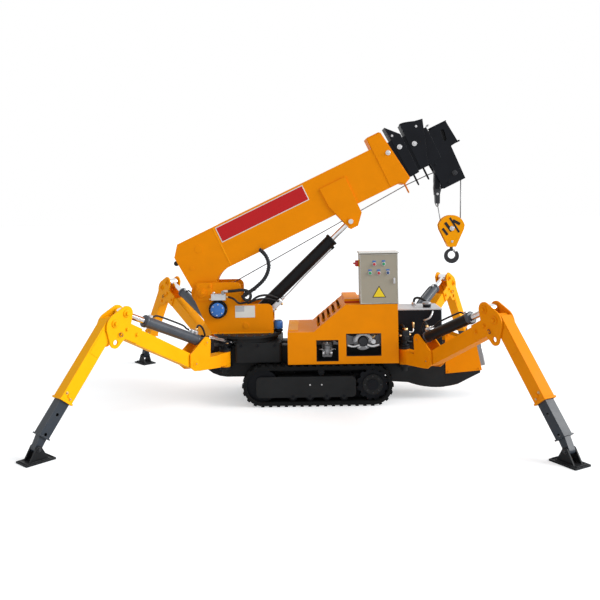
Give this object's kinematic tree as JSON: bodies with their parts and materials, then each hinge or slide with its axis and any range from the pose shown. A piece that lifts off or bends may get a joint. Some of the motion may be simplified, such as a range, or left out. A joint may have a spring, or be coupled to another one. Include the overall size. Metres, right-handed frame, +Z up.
{
  "type": "spider crane",
  "caption": "Compact tracked spider crane with a telescopic boom, hook block, engine cover, control cabinet and folding outrigger legs",
  "frame": {"origin": "On the ground in the middle of the rectangle that the four feet stand in", "axes": "+X along the machine towards the head of the boom, +Y to its left, +Z up"},
  "size_m": [4.3082, 3.9784, 2.7205],
  "materials": {
    "orange_paint": "glossy orange paint",
    "yellow_paint": "glossy yellow-orange paint",
    "black_paint": "satin black paint",
    "barrel_paint": "dark grey satin paint",
    "cabinet_paint": "light grey-beige powder coat",
    "track_rubber": "dull black rubber",
    "bare_metal": "cast, slightly oily",
    "dark_steel": "dark forged steel",
    "chrome_rod": "ground chrome"
  },
  "bodies": {
    "chassis": {"chassis_frame": "black_paint", "track_right": "track_rubber", "track_left": "track_rubber", "track_frames": "black_paint", "track_rollers": "black_paint", "hood": "orange_paint", "engine": "bare_metal", "pumps": "bare_metal", "control_cabinet": "cabinet_paint", "tank": "black_paint", "tail_panels": "orange_paint", "cooler": "bare_metal", "slew_ring": "black_paint"},
    "door": {"cabinet_door": "cabinet_paint"},
    "upper": {"slew_deck": "black_paint", "turret": "orange_paint", "drive_motors": "black_paint", "valve_block": "bare_metal"},
    "drum": {"winch_drum": "dark_steel"},
    "boom": {"boom_base": "orange_paint"},
    "section_2": {"boom_section_2": "black_paint"},
    "section_3": {"boom_section_3": "black_paint"},
    "section_4": {"boom_section_4": "black_paint"},
    "sheave": {"head_sheave": "dark_steel"},
    "socket": {"wedge_socket": "black_paint"},
    "block": {"hook_block": "yellow_paint"},
    "lower_sheave": {"block_sheave": "dark_steel"},
    "hook": {"hook": "dark_steel"},
    "lift_barrel": {"lift_barrel": "barrel_paint"},
    "lift_rod": {"lift_rod": "chrome_rod"},
    "bracket_rear_right": {"bracket_rear_right": "yellow_paint"},
    "arm_rear_right": {"arm_rear_right": "yellow_paint"},
    "jack_barrel_rear_right": {"jack_barrel_rear_right": "barrel_paint"},
    "jack_rod_rear_right": {"jack_rod_rear_right": "chrome_rod"},
    "leg_rear_right": {"leg_rear_right": "yellow_paint"},
    "inner_leg_rear_right": {"inner_leg_rear_right": "black_paint"},
    "foot_rear_right": {"foot_rear_right": "black_paint"},
    "bracket_front_right": {"bracket_front_right": "yellow_paint"},
    "arm_front_right": {"arm_front_right": "yellow_paint"},
    "jack_barrel_front_right": {"jack_barrel_front_right": "barrel_paint"},
    "jack_rod_front_right": {"jack_rod_front_right": "chrome_rod"},
    "leg_front_right": {"leg_front_right": "yellow_paint"},
    "inner_leg_front_right": {"inner_leg_front_right": "black_paint"},
    "foot_front_right": {"foot_front_right": "black_paint"},
    "bracket_rear_left": {"bracket_rear_left": "yellow_paint"},
    "arm_rear_left": {"arm_rear_left": "yellow_paint"},
    "jack_barrel_rear_left": {"jack_barrel_rear_left": "barrel_paint"},
    "jack_rod_rear_left": {"jack_rod_rear_left": "chrome_rod"},
    "leg_rear_left": {"leg_rear_left": "yellow_paint"},
    "inner_leg_rear_left": {"inner_leg_rear_left": "black_paint"},
    "foot_rear_left": {"foot_rear_left": "black_paint"},
    "bracket_front_left": {"bracket_front_left": "yellow_paint"},
    "arm_front_left": {"arm_front_left": "yellow_paint"},
    "jack_barrel_front_left": {"jack_barrel_front_left": "barrel_paint"},
    "jack_rod_front_left": {"jack_rod_front_left": "chrome_rod"},
    "leg_front_left": {"leg_front_left": "yellow_paint"},
    "inner_leg_front_left": {"inner_leg_front_left": "black_paint"},
    "foot_front_left": {"foot_front_left": "black_paint"}
  },
  "joints": [
    {"name": "door_swing", "type": "hinge", "parent": "chassis", "child": "door", "pos_m": [0.5363, -0.28219, 1.187], "axis": [0, 0, -1], "range_deg": [0, 110]},
    {"name": "slew", "type": "hinge", "parent": "chassis", "child": "upper", "pos_m": [-0.5577, 0.09781, 0.656], "axis": [0, 0, 1], "continuous": true},
    {"name": "winch_turn", "type": "hinge", "parent": "upper", "child": "drum", "pos_m": [-0.7427, 0.09781, 1], "axis": [0, 1, 0], "continuous": true},
    {"name": "luff", "type": "hinge", "parent": "upper", "child": "boom", "pos_m": [-0.9807, 0.09781, 1.055], "axis": [0, -1, 0], "range_deg": [-15, 49.8]},
    {"name": "lift_barrel_turn", "type": "hinge", "parent": "upper", "child": "lift_barrel", "pos_m": [-0.5607, 0.09781, 0.733], "axis": [0, -1, 0], "range_deg": [-14.3, 47.4]},
    {"name": "lift_rod_slide", "type": "slide", "parent": "lift_barrel", "child": "lift_rod", "axis": [0.7219, 0, 0.692], "range_m": [-0.139, 0.462]},
    {"name": "telescope", "type": "slide", "parent": "boom", "child": "section_2", "axis": [0.9048, 0, 0.4258], "range_m": [0, 1.35]},
    {"name": "telescope_3", "type": "slide", "parent": "section_2", "child": "section_3", "axis": [0.9048, 0, 0.4258], "range_m": [0, 1.3]},
    {"name": "telescope_4", "type": "slide", "parent": "section_3", "child": "section_4", "axis": [0.9048, 0, 0.4258], "range_m": [0, 1.25]},
    {"name": "sheave_turn", "type": "hinge", "parent": "section_4", "child": "sheave", "pos_m": [1.50843, 0.09781, 2.18651], "axis": [0, -1, 0], "range_deg": [-49.9, 15.1]},
    {"name": "socket_swing", "type": "hinge", "parent": "section_4", "child": "socket", "pos_m": [1.34343, 0.09781, 2.23151], "axis": [0, -1, 0], "range_deg": [-49.9, 15.1]},
    {"name": "hoist", "type": "slide", "parent": "sheave", "child": "block", "axis": [0, 0, -1], "range_m": [-0.02, 0.78]},
    {"name": "lower_sheave_turn", "type": "hinge", "parent": "block", "child": "lower_sheave", "pos_m": [1.47543, 0.09781, 1.63951], "axis": [0, 1, 0], "continuous": true},
    {"name": "hook_swivel", "type": "hinge", "parent": "block", "child": "hook", "pos_m": [1.47543, 0.09781, 1.36551], "axis": [0, 0, 1], "continuous": true},
    {"name": "swing_rear_right", "type": "hinge", "parent": "chassis", "child": "bracket_rear_right", "pos_m": [-0.7562, -0.18219, 0.365], "axis": [0, 0, 1], "range_deg": [-49.2, 25.8]},
    {"name": "raise_rear_right", "type": "hinge", "parent": "bracket_rear_right", "child": "arm_rear_right", "pos_m": [-1.03586, -0.50619, 0.475], "axis": [-0.757, 0.6534, 0], "range_deg": [-28, 42]},
    {"name": "jack_turn_rear_right", "type": "hinge", "parent": "bracket_rear_right", "child": "jack_barrel_rear_right", "pos_m": [-0.95027, -0.40702, 0.648], "axis": [-0.757, 0.6534, 0], "range_deg": [-27.5, 41.2]},
    {"name": "jack_slide_rear_right", "type": "slide", "parent": "jack_barrel_rear_right", "child": "jack_rod_rear_right", "axis": [-0.6001, -0.6952, 0.3956], "range_m": [-0.16, 0.108]},
    {"name": "knee_rear_right", "type": "hinge", "parent": "arm_rear_right", "child": "leg_rear_right", "pos_m": [-1.58442, -1.1417, 0.94774], "axis": [-0.757, 0.6534, 0], "range_deg": [-48, 35]},
    {"name": "leg_slide_rear_right", "type": "slide", "parent": "leg_rear_right", "child": "inner_leg_rear_right", "axis": [-0.4014, -0.465, -0.7891], "range_m": [-0.2, 0.2]},
    {"name": "foot_tilt_rear_right", "type": "hinge", "parent": "inner_leg_rear_right", "child": "foot_rear_right", "pos_m": [-2.01819, -1.64422, 0.095], "axis": [-0.757, 0.6534, 0], "range_deg": [-40, 40]},
    {"name": "swing_front_right", "type": "hinge", "parent": "chassis", "child": "bracket_front_right", "pos_m": [0.9508, -0.18219, 0.365], "axis": [0, 0, -1], "range_deg": [-60.5, 14.5]},
    {"name": "raise_front_right", "type": "hinge", "parent": "bracket_front_right", "child": "arm_front_right", "pos_m": [1.16156, -0.55471, 0.475], "axis": [-0.8704, -0.4924, 0], "range_deg": [-28, 42]},
    {"name": "jack_turn_front_right", "type": "hinge", "parent": "bracket_front_right", "child": "jack_barrel_front_right", "pos_m": [1.09705, -0.44069, 0.648], "axis": [-0.8704, -0.4924, 0], "range_deg": [-27.5, 41.2]},
    {"name": "jack_slide_front_right", "type": "slide", "parent": "jack_barrel_front_right", "child": "jack_rod_front_right", "axis": [0.4519, -0.7988, 0.3971], "range_m": [-0.16, 0.108]},
    {"name": "knee_front_right", "type": "hinge", "parent": "arm_front_right", "child": "leg_front_right", "pos_m": [1.57455, -1.28466, 0.9492], "axis": [-0.8704, -0.4924, 0], "range_deg": [-48, 35]},
    {"name": "leg_slide_front_right", "type": "slide", "parent": "leg_front_right", "child": "inner_leg_front_right", "axis": [0.297, -0.525, -0.7976], "range_m": [-0.2, 0.2]},
    {"name": "foot_tilt_front_right", "type": "hinge", "parent": "inner_leg_front_right", "child": "foot_front_right", "pos_m": [1.89267, -1.84694, 0.095], "axis": [-0.8704, -0.4924, 0], "range_deg": [-40, 40]},
    {"name": "swing_rear_left", "type": "hinge", "parent": "chassis", "child": "bracket_rear_left", "pos_m": [-0.7562, 0.37781, 0.365], "axis": [0, 0, -1], "range_deg": [-48.1, 26.9]},
    {"name": "raise_rear_left", "type": "hinge", "parent": "bracket_rear_left", "child": "arm_rear_left", "pos_m": [-1.04203, 0.69637, 0.475], "axis": [0.7443, 0.6678, 0], "range_deg": [-28, 42]},
    {"name": "jack_turn_rear_left", "type": "hinge", "parent": "bracket_rear_left", "child": "jack_barrel_rear_left", "pos_m": [-0.95455, 0.59887, 0.648], "axis": [0.7443, 0.6678, 0], "range_deg": [-27.5, 41.2]},
    {"name": "jack_slide_rear_left", "type": "slide", "parent": "jack_barrel_rear_left", "child": "jack_rod_rear_left", "axis": [-0.6057, 0.675, 0.4213], "range_m": [-0.16, 0.108]},
    {"name": "knee_rear_left", "type": "hinge", "parent": "arm_rear_left", "child": "leg_rear_left", "pos_m": [-1.59307, 1.31052, 0.97244], "axis": [0.7443, 0.6678, 0], "range_deg": [-48, 35]},
    {"name": "leg_slide_rear_left", "type": "slide", "parent": "leg_rear_left", "child": "inner_leg_rear_left", "axis": [-0.3559, 0.3966, -0.8462], "range_m": [-0.2, 0.2]},
    {"name": "foot_tilt_rear_left", "type": "hinge", "parent": "inner_leg_rear_left", "child": "foot_rear_left", "pos_m": [-1.96209, 1.72179, 0.095], "axis": [0.7443, 0.6678, 0], "range_deg": [-40, 40]},
    {"name": "swing_front_left", "type": "hinge", "parent": "chassis", "child": "bracket_front_left", "pos_m": [0.9508, 0.37781, 0.365], "axis": [0, 0, 1], "range_deg": [-54, 21]},
    {"name": "raise_front_left", "type": "hinge", "parent": "bracket_front_left", "child": "arm_front_left", "pos_m": [1.20237, 0.72407, 0.475], "axis": [0.809, -0.5878, 0], "range_deg": [-28, 42]},
    {"name": "jack_turn_front_left", "type": "hinge", "parent": "bracket_front_left", "child": "jack_barrel_front_left", "pos_m": [1.12537, 0.61809, 0.648], "axis": [0.809, -0.5878, 0], "range_deg": [-27.5, 41.2]},
    {"name": "jack_slide_front_left", "type": "slide", "parent": "jack_barrel_front_left", "child": "jack_rod_front_left", "axis": [0.5359, 0.7376, 0.4107], "range_m": [-0.16, 0.108]},
    {"name": "knee_front_left", "type": "hinge", "parent": "arm_front_left", "child": "leg_front_left", "pos_m": [1.6909, 1.39647, 0.96232], "axis": [0.809, -0.5878, 0], "range_deg": [-48, 35]},
    {"name": "leg_slide_front_left", "type": "slide", "parent": "leg_front_left", "child": "inner_leg_front_left", "axis": [0.3175, 0.4371, -0.8415], "range_m": [-0.2, 0.2]},
    {"name": "foot_tilt_front_left", "type": "hinge", "parent": "inner_leg_front_left", "child": "foot_front_left", "pos_m": [2.01819, 1.84694, 0.095], "axis": [0.809, -0.5878, 0], "range_deg": [-40, 40]}
  ],
  "couplings": [
    {"joint": "lift_barrel_turn", "follows": "luff", "ratio": 0.95},
    {"joint": "lift_rod_slide", "follows": "luff", "m_per_rad": 0.53},
    {"joint": "telescope_3", "follows": "telescope", "ratio": 0.96296},
    {"joint": "telescope_4", "follows": "telescope", "ratio": 0.92593},
    {"joint": "sheave_turn", "follows": "luff", "ratio": -1},
    {"joint": "socket_swing", "follows": "luff", "ratio": -1},
    {"joint": "jack_turn_rear_right", "follows": "raise_rear_right", "ratio": 0.98},
    {"joint": "jack_slide_rear_right", "follows": "raise_rear_right", "m_per_rad": -0.205},
    {"joint": "jack_turn_front_right", "follows": "raise_front_right", "ratio": 0.98},
    {"joint": "jack_slide_front_right", "follows": "raise_front_right", "m_per_rad": -0.205},
    {"joint": "jack_turn_rear_left", "follows": "raise_rear_left", "ratio": 0.98},
    {"joint": "jack_slide_rear_left", "follows": "raise_rear_left", "m_per_rad": -0.205},
    {"joint": "jack_turn_front_left", "follows": "raise_front_left", "ratio": 0.98},
    {"joint": "jack_slide_front_left", "follows": "raise_front_left", "m_per_rad": -0.205}
  ]
}
